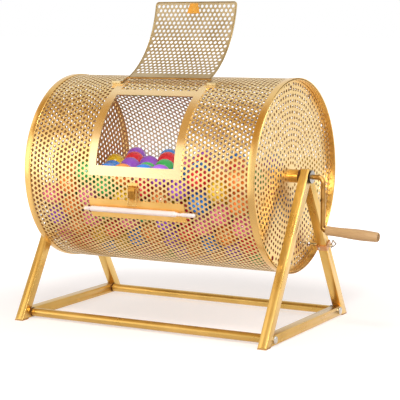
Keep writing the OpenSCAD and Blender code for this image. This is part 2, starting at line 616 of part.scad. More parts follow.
left_front_leg();
left_rear_leg();
right_front_leg();
right_rear_leg();
left_crossbar();
right_crossbar();
front_rail();
rear_rail();
rail_washers();
rail_bolts();
foot_plugs();
left_bearing_bush();
right_bearing_bush();
left_thrust_washer();
right_thrust_washer();
lock_bracket();
lock_screw();
drum_shell();
left_end_disc();
right_end_disc();
left_rim_band();
right_rim_band();
left_hub();
right_hub();
hub_set_screws();
left_stub_axle();
crank_rod();
left_collar();
right_collar();
collar_set_screws();
hatch_frame();
left_hinge_knuckle();
right_hinge_knuckle();
clasp_plate();
clasp_body();
clasp_rivets();
grip_channel();
grip_posts();
grip_rod();
handle_washer();
handle_screw();
door_sheet();
door_edge();
door_hinge_rod();
door_hasp_plate();
door_keeper();
door_rivets();
clasp_bail();
crank_handle();
lock_pin();
lock_pull();
balls_red();
balls_orange();
balls_yellow();
balls_green();
balls_blue();
balls_purple();
balls_pink();
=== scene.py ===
# Raffle drum: its finishes and its finely made pieces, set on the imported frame.
import json
import math

import bmesh
import bpy
from mathutils import Matrix, Vector


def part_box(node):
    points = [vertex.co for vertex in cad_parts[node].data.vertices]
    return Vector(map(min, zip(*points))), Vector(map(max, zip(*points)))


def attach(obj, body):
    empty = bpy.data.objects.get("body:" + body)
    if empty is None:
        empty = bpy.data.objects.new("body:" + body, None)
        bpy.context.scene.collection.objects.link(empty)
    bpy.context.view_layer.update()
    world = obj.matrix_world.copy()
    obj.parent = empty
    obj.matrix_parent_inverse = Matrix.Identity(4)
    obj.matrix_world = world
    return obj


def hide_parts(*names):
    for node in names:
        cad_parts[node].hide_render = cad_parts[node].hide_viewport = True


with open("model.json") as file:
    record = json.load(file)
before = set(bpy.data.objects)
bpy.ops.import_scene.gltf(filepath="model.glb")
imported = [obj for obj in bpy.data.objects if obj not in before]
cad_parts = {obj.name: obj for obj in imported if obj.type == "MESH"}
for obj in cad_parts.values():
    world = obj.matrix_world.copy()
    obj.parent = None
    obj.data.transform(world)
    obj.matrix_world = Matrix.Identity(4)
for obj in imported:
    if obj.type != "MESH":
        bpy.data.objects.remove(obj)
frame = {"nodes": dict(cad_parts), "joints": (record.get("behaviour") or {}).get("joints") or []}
nodes = frame["nodes"]
joints = {joint["name"]: joint for joint in frame["joints"]}
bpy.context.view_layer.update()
MM = 0.001

# Studio: the photograph's camera, a pale floor that keeps the shadow, and a white surround
# with a warm brown flag above, which gives rolled metal its golden bands.
CAMERA_AZIMUTH = 28.51
CAMERA_ELEVATION = 7.02
CAMERA_PLACE = (1.1191, -1.9999, 0.4789)
CAMERA_LENS = 125.34
SENSOR_WIDTH = 36
WHITE = "#FFFFFF"
FLAG_AZIMUTH = -49
FLAG_ELEVATION = 51
FLAG_REACH = (14, 42)
FLAG_COLOUR = "#CCA040"
WORLD_FILL = 0.42
PAPER_COLOUR = "#D4CAC6"
FLOOR_HALF = 60
# The floor brightens over these distances in metres: away from the drum for the camera, and
# backwards and leftwards for the metal that mirrors it
SHADOW_EDGE = (0.3, 0.8)
SHADOW_LIFT = (0.48, 1.0)
BACK_EDGE = (-0.6, 0.5)
LEFT_EDGE = (-0.2, -0.45)
LEFT_GLOW = 0.8


def linear(code):
    """Linear colour of an sRGB hex code."""
    channels = [int(code[i:i + 2], 16) / 255 for i in (1, 3, 5)]
    return [c / 12.92 if c <= 0.04045 else ((c + 0.055) / 1.055) ** 2.4 for c in channels] + [1.0]


def feed(tree, node, inputs):
    """Sets a node's inputs, each to a plain value or from the socket that feeds it."""
    for key, value in inputs.items():
        if isinstance(value, bpy.types.NodeSocket):
            tree.links.new(value, node.inputs[key])
        else:
            node.inputs[key].default_value = value


def add(tree, kind, settings=None, inputs=None):
    """Adds a node with its settings and its inputs."""
    node = tree.nodes.new(kind)
    for name, value in (settings or {}).items():
        setattr(node, name, value)
    feed(tree, node, inputs or {})
    return node


def ramp(tree, value, source, target=(0.0, 1.0), curve="LINEAR"):
    """Carries a value from the source range over to the target range."""
    node = add(tree, "ShaderNodeMapRange", {"interpolation_type": curve},
               {"Value": value, "From Min": source[0], "From Max": source[1],
                "To Min": target[0], "To Max": target[1]})
    return node.outputs[0]


def combine(tree, operation, *values):
    """Arithmetic on values or sockets."""
    return add(tree, "ShaderNodeMath", {"operation": operation}, dict(enumerate(values))).outputs[0]


def blend(tree, factor, first, second):
    """Colour that goes from the first to the second; each is a hex code or a socket."""
    ends = [linear(end) if isinstance(end, str) else end for end in (first, second)]
    node = add(tree, "ShaderNodeMix", {"data_type": "RGBA"}, {0: factor, 6: ends[0], 7: ends[1]})
    return node.outputs[2]


def toward(azimuth, elevation):
    """Unit vector from the drum towards a place round it; azimuth 0 is in front, on -Y."""
    turn, rise = math.radians(azimuth), math.radians(elevation)
    return Vector((math.sin(turn) * math.cos(rise), -math.cos(turn) * math.cos(rise), math.sin(rise)))


def kinds_of_ray(tree):
    """Two sockets: 1 for the camera's own rays, and 1 for rays that a surface mirrors or lets through."""
    path = add(tree, "ShaderNodeLightPath")
    mirrored = combine(tree, "MAXIMUM", path.outputs["Is Glossy Ray"], path.outputs["Is Transmission Ray"])
    return path.outputs["Is Camera Ray"], mirrored


camera = bpy.data.objects.new("camera", bpy.data.cameras.new("camera"))
camera.data.sensor_width = SENSOR_WIDTH
camera.data.lens = CAMERA_LENS
camera.location = CAMERA_PLACE
camera.rotation_euler = toward(CAMERA_AZIMUTH, CAMERA_ELEVATION).to_track_quat("Z", "Y").to_euler()
bpy.context.scene.collection.objects.link(camera)
bpy.context.scene.camera = camera
bpy.context.scene.view_settings.view_transform = "Standard"

world = bpy.data.worlds.new("studio")
bpy.context.scene.world = world
world.use_nodes = True
surround = world.node_tree
surround.nodes.clear()
by_camera, by_mirror = kinds_of_ray(surround)
direction = add(surround, "ShaderNodeTexCoord")
toward_flag = add(surround, "ShaderNodeVectorMath", {"operation": "DOT_PRODUCT"},
                  {0: direction.outputs["Generated"], 1: toward(FLAG_AZIMUTH, FLAG_ELEVATION)})
flag_edge = [math.cos(math.radians(angle)) for angle in reversed(FLAG_REACH)]
flag = ramp(surround, toward_flag.outputs["Value"], flag_edge, curve="SMOOTHSTEP")
tint = blend(surround, combine(surround, "MULTIPLY", flag, by_mirror), WHITE, FLAG_COLOUR)
lit = add(surround, "ShaderNodeMix", None, {0: by_mirror, 2: WORLD_FILL, 3: 1.0})
shown = add(surround, "ShaderNodeMix", None, {0: by_camera, 2: lit.outputs[0], 3: 1.0})
backdrop = add(surround, "ShaderNodeBackground", None, {"Color": tint, "Strength": shown.outputs[0]})
add(surround, "ShaderNodeOutputWorld", None, {"Surface": backdrop.outputs[0]})


def floor_paper():
    """White paper sweep, lifted to white away from the drum with a painted shadow round it; metal mirrors a
    painted glow at its back and left, and its near right part unlit.
    """
    material = bpy.data.materials.new("white_paper_sweep")
    material.use_nodes = True
    tree = material.node_tree
    tree.nodes.clear()
    by_camera, by_mirror = kinds_of_ray(tree)
    place = add(tree, "ShaderNodeTexCoord").outputs["Object"]
    reach = add(tree, "ShaderNodeVectorMath", {"operation": "LENGTH"}, {0: place})
    axes = add(tree, "ShaderNodeSeparateXYZ", None, {0: place})
    lift = ramp(tree, reach.outputs["Value"], SHADOW_EDGE, SHADOW_LIFT, "SMOOTHSTEP")
    back_glow = ramp(tree, axes.outputs["Y"], BACK_EDGE, (0.0, 1.0), "SMOOTHSTEP")
    left_glow = ramp(tree, axes.outputs["X"], LEFT_EDGE, (0.0, LEFT_GLOW), "SMOOTHSTEP")
    mirror_glow = combine(tree, "MULTIPLY", by_mirror, combine(tree, "MAXIMUM", back_glow, left_glow))
    glow = combine(tree, "MULTIPLY_ADD", by_camera, lift, mirror_glow)
    paper = add(tree, "ShaderNodeBsdfDiffuse", None, {"Color": linear(PAPER_COLOUR)})
    light = add(tree, "ShaderNodeEmission", None, {"Color": linear(WHITE), "Strength": glow})
    both = add(tree, "ShaderNodeAddShader", None, {0: paper.outputs[0], 1: light.outputs[0]})
    add(tree, "ShaderNodeOutputMaterial", None, {"Surface": both.outputs[0]})
    return material


sweep = bmesh.new()
bmesh.ops.create_grid(sweep, x_segments=4, y_segments=4, size=FLOOR_HALF)
floor_mesh = bpy.data.meshes.new("floor")
sweep.to_mesh(floor_mesh)
sweep.free()
floor_mesh.materials.append(floor_paper())
floor = bpy.data.objects.new("floor", floor_mesh)
bpy.context.scene.collection.objects.link(floor)

# Softboxes as azimuth, elevation, distance, width, height and power: a tall one on the left,
# a small near one on the left, one beside the camera, one above the hatch, one towards the crank.
SOFTBOXES = {
    "key_light": (-39, 14, 2.1, 0.8, 1.4, 5.5),
    "near_left_light": (-62, 36, 1.3, 0.3, 0.4, 0.45),
    "front_light": (23, 13, 2.6, 0.7, 0.7, 38),
    "top_light": (22, 56, 2.3, 0.5, 0.5, 16),
    "side_light": (95, 30, 2.2, 1.0, 1.0, 10),
}
LIGHTS_AIM = Vector((0, 0, 0.2))
for name, (azimuth, elevation, distance, width, height, power) in SOFTBOXES.items():
    lamp = bpy.data.lights.new(name, "AREA")
    lamp.shape = "RECTANGLE"
    lamp.size = width
    lamp.size_y = height
    lamp.energy = power
    softbox = bpy.data.objects.new(name, lamp)
    softbox.location = LIGHTS_AIM + toward(azimuth, elevation) * distance
    softbox.rotation_euler = toward(azimuth, elevation).to_track_quat("Z", "Y").to_euler()
    softbox.visible_camera = False
    bpy.context.scene.collection.objects.link(softbox)

# Stand: two A-frames of 15 mm square steel tube with a crossbar at each foot, two round rails,
# and the plugs, bolts and dark washers that close and hold them. All steel is lacquered gold.
TUBE_ROUNDING = 1.3
SHARP_ANGLE = math.radians(32)
FLAT_ANGLE = math.radians(0.4)
PEEL_STRENGTH = 0.14
PEEL_DEPTH = 0.04
LACQUER_COAT_ROUGHNESS = 0.12
FLOW_MM = 12
STAIN_MM = 6


def new_material(name):
    """New material, with its node tree, its shader and the piece's own coordinates."""
    material = bpy.data.materials.new(name)
    material.use_nodes = True
    tree = material.node_tree
    place = add(tree, "ShaderNodeTexCoord").outputs["Object"]
    return material, tree, tree.nodes["Principled BSDF"], place


def noise(tree, place, size_mm, detail=2.0, distortion=0.0):
    """Noise with grains of about this size."""
    node = add(tree, "ShaderNodeTexNoise", None,
               {"Vector": place, "Scale": 1 / (size_mm * MM), "Detail": detail, "Distortion": distortion})
    return node.outputs["Fac"]


def stretched(tree, place, scale):
    """Coordinates that draw a noise out into lines."""
    return add(tree, "ShaderNodeMapping", None, {"Vector": place, "Scale": scale}).outputs[0]


def relief(tree, height, strength, depth_mm):
    """Fine bumps in a surface."""
    node = add(tree, "ShaderNodeBump", None,
               {"Height": height, "Strength": strength, "Distance": depth_mm * MM})
    return node.outputs[0]


def lacquer(name, light, deep, patch_mm, peel_mm, roughness, metallic, coat):
    """Gold lacquer over metal: slow drift between two tones, and fine orange peel in its gloss."""
    material, tree, shader, place = new_material(name)
    patches = noise(tree, place, patch_mm, 3.0)
    tone = ramp(tree, patches, (0.3, 0.7))
    peel = noise(tree, place, peel_mm)
    feed(tree, shader, {
        "Base Color": blend(tree, tone, deep, light),
        "Roughness": ramp(tree, patches, (0.25, 0.75), (roughness - 0.06, roughness + 0.08)),
        "Normal": relief(tree, peel, PEEL_STRENGTH, PEEL_DEPTH),
        "Metallic": metallic,
        "Coat Weight": coat,
        "Coat Roughness": LACQUER_COAT_ROUGHNESS,
    })
    return material


def finish_nodes(material, *names):
    """Gives carried-over pieces of the frame their finish."""
    for name in names:
        for material_slot in nodes[name].material_slots:
            material_slot.material = material


def add_piece(bm, name, body, slot, materials, *stands_for):
    """Turns a form drawn in millimetres into a finished piece on one of the drum's bodies."""
    bmesh.ops.scale(bm, vec=(MM, MM, MM), verts=bm.verts)
    mesh = bpy.data.meshes.new(name)
    bm.to_mesh(mesh)
    bm.free()
    for material in materials:
        mesh.materials.append(material)
    mesh.shade_smooth()
    mesh.set_sharp_from_angle(angle=SHARP_ANGLE)
    piece = bpy.data.objects.new(name, mesh)
    bpy.context.scene.collection.objects.link(piece)
    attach(piece, body)
    if stands_for:
        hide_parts(*stands_for)
    return piece


def softened(node):
    """Copy of a tube of the frame, in millimetres, with its hard edges rounded as rolled steel."""
    bm = bmesh.new()
    bm.from_mesh(nodes[node].data)
    bmesh.ops.scale(bm, vec=(1 / MM, 1 / MM, 1 / MM), verts=bm.verts)
    bmesh.ops.remove_doubles(bm, verts=bm.verts, dist=0.002)
    bmesh.ops.dissolve_limit(bm, angle_limit=FLAT_ANGLE, verts=bm.verts, edges=bm.edges)
    hard = [e for e in bm.edges if e.calc_face_angle(0) > SHARP_ANGLE]
    bmesh.ops.bevel(bm, geom=hard, offset=TUBE_ROUNDING, affect="EDGES", segments=2, profile=0.5,
                    material=-1, clamp_overlap=True)
    return bm


stand_gold = lacquer("satin_gold_lacquer_on_tube", "#DEBA6E", "#CEA656", 70, 1.4, 0.28, 0.9, 0.1)
# Rails and crossbars get a darker copy of the stand's gold: painted shade.
shaded_rail_gold = lacquer("gold_lacquer_on_rail_darkened_as_shade", "#D2AC60", "#C29C50", 50, 1.4, 0.3, 0.9, 0.1)
for tube in ("left_front_leg", "left_rear_leg", "right_front_leg", "right_rear_leg"):
    add_piece(softened(tube), tube + "_tube", "stand", "stand_gold", [stand_gold], tube)
for tube in ("left_crossbar", "right_crossbar"):
    add_piece(softened(tube), tube + "_tube", "stand", "stand_gold", [shaded_rail_gold], tube)
finish_nodes(shaded_rail_gold, "front_rail", "rear_rail")


def moulded(name, colour, shade, grain_mm, roughness):
    """Moulded plastic: nearly even colour with a fine spark-eroded grain."""
    material, tree, shader, place = new_material(name)
    flow = noise(tree, place, FLOW_MM)
    grain = noise(tree, place, grain_mm)
    feed(tree, shader, {
        "Base Color": blend(tree, flow, shade, colour),
        "Roughness": ramp(tree, grain, (0.0, 1.0), (roughness - 0.08, roughness + 0.08)),
        "Normal": relief(tree, grain, 0.2, 0.03),
    })
    return material


def turned_metal(name, light, deep, line_mm, roughness):
    """Turned or drawn metal: tool lines round the X axis, in its gloss and its relief."""
    material, tree, shader, place = new_material(name)
    lines = noise(tree, stretched(tree, place, (1, 0.02, 0.02)), line_mm, 3.0)
    stain = noise(tree, place, STAIN_MM)
    feed(tree, shader, {
        "Base Color": blend(tree, stain, deep, light),
        "Roughness": ramp(tree, lines, (0.0, 1.0), (roughness - 0.05, roughness + 0.1)),
        "Normal": relief(tree, lines, 0.15, 0.03),
        "Metallic": 1.0,
    })
    return material


dark_bronze = lacquer("dull_dark_bronze", "#6E4422", "#4E2D14", 8, 0.8, 0.45, 0.6, 0.0)
fastener_steel = turned_metal("turned_steel", "#D8D4CC", "#A8A298", 0.6, 0.24)
plug_plastic = moulded("moulded_polyethylene_plug", "#B98A48", "#A47636", 0.9, 0.5)
bush_nylon = moulded("oiled_nylon", "#DCC9A0", "#CDB88C", 0.7, 0.45)
finish_nodes(dark_bronze, "rail_washers", "left_thrust_washer", "right_thrust_washer")
finish_nodes(fastener_steel, "rail_bolts", "hub_set_screws", "collar_set_screws")
finish_nodes(fastener_steel, "handle_washer", "handle_screw", "lock_screw")
finish_nodes(plug_plastic, "foot_plugs")
finish_nodes(bush_nylon, "left_bearing_bush", "right_bearing_bush")

# Drum shell: one rolled sheet of 1 mm steel, punched with staggered round holes and lacquered a
# light gold. The hatch is cut out of it, and a plain margin goes under each rim band.
HOLE_SIDES = 12
HOLE_R = 2.8
HOLE_COLUMNS = 56
HOLES_ROUND = 117
SHELL_PANELS = 3
COLUMN_STEP = 7.11
SHEET_T = 1.0
HATCH_HALF = 70.3
HATCH_ANGLES = (6.6, 54.4)
FIRST_PANEL_ANGLE = -29.5
# Distances within which points count as one, and as lying on the same line
WELD = 0.001
ON_LINE = 0.01

shell_low, shell_high = [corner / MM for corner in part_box("drum_shell")]
axis_z = (shell_low.z + shell_high.z) / 2
shell_r = (shell_high.y - shell_low.y) / 2
shell_half = shell_high.x


def everything(bm):
    """All the vertices, edges and faces of a form."""
    return bm.verts[:] + bm.edges[:] + bm.faces[:]


def repeat(bm, offset, count):
    """Sets count copies of the whole form in a row."""
    bmesh.ops.spin(bm, geom=everything(bm), cent=(0, 0, 0), axis=(0, 0, 1), dvec=offset, angle=0,
                   steps=count - 1, use_duplicate=True)


def punched_sheet(columns, rows, step, pitch, hole):
    """Flat sheet with columns of round holes along Y; every other column stands half a pitch higher."""
    bm = bmesh.new()
    bmesh.ops.create_circle(bm, segments=HOLE_SIDES, radius=hole)
    border = bmesh.ops.create_grid(bm, x_segments=1, y_segments=2, size=0.5)["verts"]
    bmesh.ops.scale(bm, vec=(step, pitch, 1), verts=border)
    bmesh.ops.delete(bm, geom=bm.faces[:], context="FACES_ONLY")
    across = [e for e in bm.edges if all(abs(v.co.y) < ON_LINE and abs(v.co.x) > hole + 0.1 for v in e.verts)]
    bmesh.ops.delete(bm, geom=across, context="EDGES")
    bmesh.ops.triangle_fill(bm, use_beauty=True, edges=bm.edges[:], normal=(0, 0, 1))
    repeat(bm, (0, pitch, 0), rows)
    copy = bmesh.ops.duplicate(bm, geom=everything(bm))["geom"]
    raised = [v for v in copy if isinstance(v, bmesh.types.BMVert)]
    bmesh.ops.translate(bm, vec=(step, pitch / 2, 0), verts=raised)
    repeat(bm, (2 * step, 0, 0), columns // 2)
    bmesh.ops.remove_doubles(bm, verts=bm.verts, dist=ON_LINE)
    bmesh.ops.translate(bm, vec=(-step * (columns - 1) / 2, 0, 0), verts=bm.verts)
    return bm


def cut_line(bm, point, normal, near):
    """Splits the faces whose middles satisfy near along a plane."""
    faces = [f for f in bm.faces if near(f.calc_center_median())]
    edges = {e for f in faces for e in f.edges}
    verts = {v for f in faces for v in f.verts}
    bmesh.ops.bisect_plane(bm, geom=faces + list(edges) + list(verts), dist=WELD,
                           plane_co=point, plane_no=normal)


def cut_window(bm, x_half, y_low, y_high):
    """Cuts a rectangle out of a flat sheet."""
    pad = COLUMN_STEP

    def near(c):
        return abs(c.x) < x_half + pad and y_low - pad < c.y < y_high + pad

    for sign in (-1, 1):
        cut_line(bm, (sign * x_half, 0, 0), (1, 0, 0), near)
    for y in (y_low, y_high):
        cut_line(bm, (0, y, 0), (0, 1, 0), near)
    middles = [(f, f.calc_center_median()) for f in bm.faces]
    cut = [f for f, c in middles if abs(c.x) < x_half and y_low < c.y < y_high]
    bmesh.ops.delete(bm, geom=cut, context="FACES")


def widen(bm, x_half):
    """Adds a plain margin at both ends, out to x_half."""
    reach = max(v.co.x for v in bm.verts)
    for sign in (-1, 1):
        ends = [e for e in bm.edges if all(abs(v.co.x - sign * reach) < ON_LINE for v in e.verts)]
        outer = bmesh.ops.extrude_edge_only(bm, edges=ends)["geom"]
        moved = [v for v in outer if isinstance(v, bmesh.types.BMVert)]
        bmesh.ops.translate(bm, vec=(sign * (x_half - reach), 0, 0), verts=moved)
    bmesh.ops.recalc_face_normals(bm, faces=bm.faces)


def face_up(bm):
    """Turns every face of a flat sheet to +Z, so that its thickness goes down."""
    bmesh.ops.reverse_faces(bm, faces=[f for f in bm.faces if f.normal.z < 0])


def mark_inside(bm, outer_z):
    """Gives a flat sheet's inner face the second finish, and the walls of its holes the third."""
    for f in bm.faces:
        if abs(f.normal.z) < 0.5:
            f.material_index = 2
        elif abs(f.calc_center_median().z - outer_z) > ON_LINE:
            f.material_index = 1


def roll(bm, radius, first_angle):
    """Rolls a flat sheet round the drum's axis: Y becomes the way round, Z the way out."""
    for v in bm.verts:
        angle = math.radians(first_angle) + v.co.y / radius
        out = radius + v.co.z
        v.co = (v.co.x, -out * math.cos(angle), axis_z + out * math.sin(angle))


mesh_gold = lacquer("light_gold_lacquer_on_punched_sheet", "#ECD094", "#E0BE7A", 45, 1.2, 0.32, 0.9, 0.1)
# The inside of each sheet has a thin, dull coat, painted paler than the outside: painted light.
sheet_inside_painted_light_gold = lacquer("pale_lacquer_inside_punched_sheet_as_painted_light", "#F8EACC", "#ECDAB4", 30, 1.2, 0.5, 0.15, 0.0)
# The walls of the holes are painted dark brown: painted shade in the holes.
hole_wall_painted_shade = lacquer("brown_painted_shade_on_walls_of_punched_holes", "#9E7A48", "#7E5C30", 10, 0.8, 0.5, 0.5, 0.0)
sheet_finish = [mesh_gold, sheet_inside_painted_light_gold, hole_wall_painted_shade]
hole_pitch = 2 * math.pi * shell_r / HOLES_ROUND
for i, side in enumerate(("hatch_side", "top_and_back", "underside")):
    panel = punched_sheet(HOLE_COLUMNS, HOLES_ROUND // SHELL_PANELS, COLUMN_STEP, hole_pitch, HOLE_R)
    widen(panel, shell_half)
    first_angle = FIRST_PANEL_ANGLE + i * 360 / SHELL_PANELS
    if side == "hatch_side":
        low, high = [math.radians(a - first_angle) * shell_r for a in HATCH_ANGLES]
        cut_window(panel, HATCH_HALF, low, high)
    face_up(panel)
    bmesh.ops.solidify(panel, geom=panel.faces[:], thickness=SHEET_T)
    mark_inside(panel, 0)
    roll(panel, shell_r, first_angle)
    add_piece(panel, "shell_sheet_" + side, "drum", "mesh_gold", sheet_finish, "drum_shell")

# End discs: 1 mm sheet punched with rings of holes round the hub. The right one also has twelve
# larger holes near its edge, where the lock pin goes in.
DISC_SIDES = 180
DISC_HOLE_R = 2.6
RING_STEP = 8.9
FIRST_RING = 21.0
LAST_RING = 149.0
LOCK_HOLES = 12
LOCK_HOLE_R = 4.0
LOCK_HOLE_SIDES = 24
LEAST_WEB = 0.4
HUB_GAP_R = 10.6
HUB_GAP_SIDES = 48
STOOD_UP = Matrix(((0, 0, 1), (1, 0, 0), (0, 1, 0))).to_4x4()
lock_low, lock_high = [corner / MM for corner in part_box("lock_pin")]
lock_y = (lock_low.y + lock_high.y) / 2
lock_drop = axis_z - (lock_low.z + lock_high.z) / 2
lock_ring = math.hypot(lock_y, lock_drop)
lock_angle = math.atan2(-lock_drop, lock_y)


def round_hole(bm, radius, sides, x, y):
    """Outline of a round hole in a flat sheet."""
    rim = bmesh.ops.create_circle(bm, segments=sides, radius=radius)["verts"]
    bmesh.ops.translate(bm, vec=(x, y, 0), verts=rim)


def end_disc(radius, lock_holes):
    """Flat disc about Z with its hub hole, its rings of punched holes and its lock holes."""
    bm = bmesh.new()
    round_hole(bm, radius, DISC_SIDES, 0, 0)
    round_hole(bm, HUB_GAP_R, HUB_GAP_SIDES, 0, 0)
    drilled = [(lock_ring * math.cos(a), lock_ring * math.sin(a))
               for a in (lock_angle + 2 * math.pi * k / LOCK_HOLES for k in range(lock_holes))]
    for x, y in drilled:
        round_hole(bm, LOCK_HOLE_R, LOCK_HOLE_SIDES, x, y)
    for ring in range(int((LAST_RING - FIRST_RING) / RING_STEP) + 1):
        ring_r = FIRST_RING + RING_STEP * ring
        count = round(2 * math.pi * ring_r / RING_STEP)
        for k in range(count):
            a = 2 * math.pi * (k + 0.5 * (ring % 2)) / count
            x, y = ring_r * math.cos(a), ring_r * math.sin(a)
            if all(math.hypot(x - u, y - w) > LOCK_HOLE_R + DISC_HOLE_R + LEAST_WEB for u, w in drilled):
                round_hole(bm, DISC_HOLE_R, HOLE_SIDES, x, y)
    bmesh.ops.triangle_fill(bm, use_beauty=True, edges=bm.edges[:], normal=(0, 0, 1))
    face_up(bm)
    bmesh.ops.solidify(bm, geom=bm.faces[:], thickness=SHEET_T)
    return bm


# The discs' inner faces are a darker orange gold than the sheet's: painted shade inside the drum
disc_inside_painted_shade_gold = lacquer("orange_lacquer_inside_disc_as_painted_shade", "#E2AC6C", "#CC9454", 30, 1.2, 0.5, 0.2, 0.0)
disc_finish = [mesh_gold, disc_inside_painted_shade_gold, hole_wall_painted_shade]
for side, sign in (("left", -1), ("right", 1)):
    disc_low, disc_high = [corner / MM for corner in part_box(side + "_end_disc")]
    disc = end_disc((disc_high.y - disc_low.y) / 2, LOCK_HOLES if sign > 0 else 0)
    mark_inside(disc, 0 if sign > 0 else -SHEET_T)
    placed = Matrix.Translation((disc_high.x, 0, axis_z)) @ STOOD_UP
    bmesh.ops.transform(disc, matrix=placed, verts=disc.verts)
    add_piece(disc, side + "_disc_sheet", "drum", "mesh_gold", disc_finish, side + "_end_disc")

# Rims, hatch frame and grip plate: thicker plain steel, rolled and polished before its lacquer,
# so it is smoother than the punched sheet. The hatch frame is the palest part of the drum.
RIM_WALL = 1.2
RIM_CORNER = 0.8
RIM_STEPS = 180


def turned_ring(section, is_corner, rounding, segments, steps):
    """Ring about the drum's axis, turned from a section of x and radius with some corners rounded."""
    bm = bmesh.new()
    bmesh.ops.contextual_create(bm, geom=[bm.verts.new((x, 0, axis_z + r)) for x, r in section])
    corners = [v for v in bm.verts if is_corner(v.co)]
    bmesh.ops.bevel(bm, geom=corners, offset=rounding, affect="VERTICES", segments=segments, profile=0.5,
                    material=-1)
    bmesh.ops.spin(bm, geom=everything(bm), cent=(0, 0, axis_z), axis=(1, 0, 0), angle=2 * math.pi,
                   steps=steps, use_merge=True)
    bmesh.ops.remove_doubles(bm, verts=bm.verts, dist=WELD)
    sections = [f for f in bm.faces if len(f.verts) > 4]
    bmesh.ops.delete(bm, geom=sections, context="FACES_ONLY")
    bmesh.ops.recalc_face_normals(bm, faces=bm.faces)
    return bm


def rim_band(outer, inner, radius, disc_depth, sign):
    """Folded band: it covers the sheet's end and turns in over its edge, down to the disc."""
    lip = outer - sign * RIM_WALL
    seat = outer - sign * disc_depth
    section = ((inner, radius - RIM_WALL), (inner, radius), (outer, radius), (outer, radius - 3 * RIM_WALL),
               (seat, radius - 3 * RIM_WALL), (seat, radius - 2 * RIM_WALL),
               (lip, radius - 2 * RIM_WALL), (lip, radius - RIM_WALL))

    def is_corner(co):
        return abs(co.x - outer) < ON_LINE or co.z > axis_z + radius - ON_LINE

    return turned_ring(section, is_corner, RIM_CORNER, 3, RIM_STEPS)


rim_gold = lacquer("smooth_gold_lacquer_on_rim", "#E8C27C", "#DCB064", 90, 2.0, 0.24, 0.92, 0.1)
frame_gold = lacquer("pale_gold_lacquer_on_frame", "#F2D6A6", "#EACA92", 60, 2.0, 0.26, 0.92, 0.1)
# The plates are orange gold, made lighter to make up for the dark floor they mirror: own tone and painted light.
plate_gold_with_painted_light = lacquer("orange_gold_lacquer_on_plate_with_painted_light", "#F8CC7A", "#EEBC62", 40, 1.6, 0.3, 0.8, 0.15)
for side, sign in (("left", -1), ("right", 1)):
    rim_low, rim_high = [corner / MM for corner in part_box(side + "_rim_band")]
    disc_face = max(abs(corner.x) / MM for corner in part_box(side + "_end_disc"))
    outer, inner = (rim_high.x, rim_low.x) if sign > 0 else (rim_low.x, rim_high.x)
    band = rim_band(outer, inner, (rim_high.y - rim_low.y) / 2, shell_half - disc_face, sign)
    add_piece(band, side + "_rim_rolled", "drum", "trim_gold", [rim_gold], side + "_rim_band")
finish_nodes(frame_gold, "hatch_frame")
finish_nodes(plate_gold_with_painted_light, "grip_channel", "clasp_plate")

# Hubs, axle, crank, clasp and hinge parts: turned and bent steel, plated a darker gold. The brown of the
# axle, crank and hinge rods and the deeper gold of the clasp, hasp and keeper are painted shade.
hardware_gold = lacquer("dark_gold_plating", "#E0B25E", "#C89442", 10, 0.8, 0.3, 0.85, 0.1)
# Painted shade: the rods' brown.
rod_gold_painted_shade = lacquer("gold_plating_on_rod_darkened_as_shade", "#B88C48", "#9A7034", 14, 0.8, 0.3, 0.85, 0.15)
knuckle_gold = lacquer("gold_plating_on_knuckles", "#DCCCA4", "#CCB888", 8, 0.8, 0.3, 0.85, 0.1)
wire_gold = lacquer("gold_plating_on_wire", "#EAC884", "#CCA058", 6, 0.6, 0.2, 0.95, 0.0)
# Painted shade: the clasp's deeper gold.
clasp_gold_painted_shade = lacquer("gold_plating_on_clasp_darkened_as_shade", "#C8923E", "#A87430", 5, 0.8, 0.22, 0.95, 0.0)
edge_gold = lacquer("dull_gold_lacquer_on_wire_edge", "#A89060", "#907848", 12, 0.8, 0.34, 0.8, 0.1)
finish_nodes(hardware_gold, "left_hub", "right_hub", "clasp_rivets", "grip_posts", "door_rivets")
finish_nodes(rod_gold_painted_shade, "left_stub_axle", "crank_rod", "door_hinge_rod")
finish_nodes(knuckle_gold, "left_hinge_knuckle", "right_hinge_knuckle")
finish_nodes(wire_gold, "clasp_bail")
finish_nodes(clasp_gold_painted_shade, "clasp_body", "door_hasp_plate", "door_keeper")
finish_nodes(edge_gold, "door_edge")

# Shaft collars: short turned rings just outside the A-frames, each held by a grub screw. Their
# faces are chromed bright; the band round each is blacked.
COLLAR_BORE_R = 4.1
COLLAR_CHAMFER = 0.45
COLLAR_STEPS = 48
collar_chrome = turned_metal("bright_chrome", "#B4B0AA", "#8E8A84", 0.5, 0.24)
collar_black = turned_metal("blacked_steel", "#3A342E", "#241F1B", 0.5, 0.32)
for side in ("left", "right"):
    collar_low, collar_high = [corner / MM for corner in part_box(side + "_collar")]
    collar_r = (collar_high.y - collar_low.y) / 2
    section = ((collar_low.x, COLLAR_BORE_R), (collar_high.x, COLLAR_BORE_R),
               (collar_high.x, collar_r), (collar_low.x, collar_r))
    collar_top = axis_z + collar_r - ON_LINE
    collar = turned_ring(section, lambda co: co.z > collar_top, COLLAR_CHAMFER, 2, COLLAR_STEPS)
    for f in collar.faces:
        f.material_index = 0 if abs(f.normal.x) > 0.6 else 1
    collar_finish = [collar_chrome, collar_black]
    add_piece(collar, side + "_collar_ring", "drum", "chrome_collar", collar_finish, side + "_collar")

# Door: the same punched sheet turned a quarter, rolled to the drum's curve, and hung on a bent
# wire. It is drawn closed, then swung back to where it stands at rest, open past upright.
DOOR_HOLE_R = 2.75
DOOR_PITCH = 8.2
DOOR_ROW_STEP = 7.18
DOOR_ROWS = 20
DOOR_HALF = 74.4
DOOR_ANGLES = (2.25, 59.6)
DOOR_OUT_R = 157.7
DOOR_T = 0.8
DOOR_FIRST_ROW = 5.6
DOOR_CORNER = 3.8


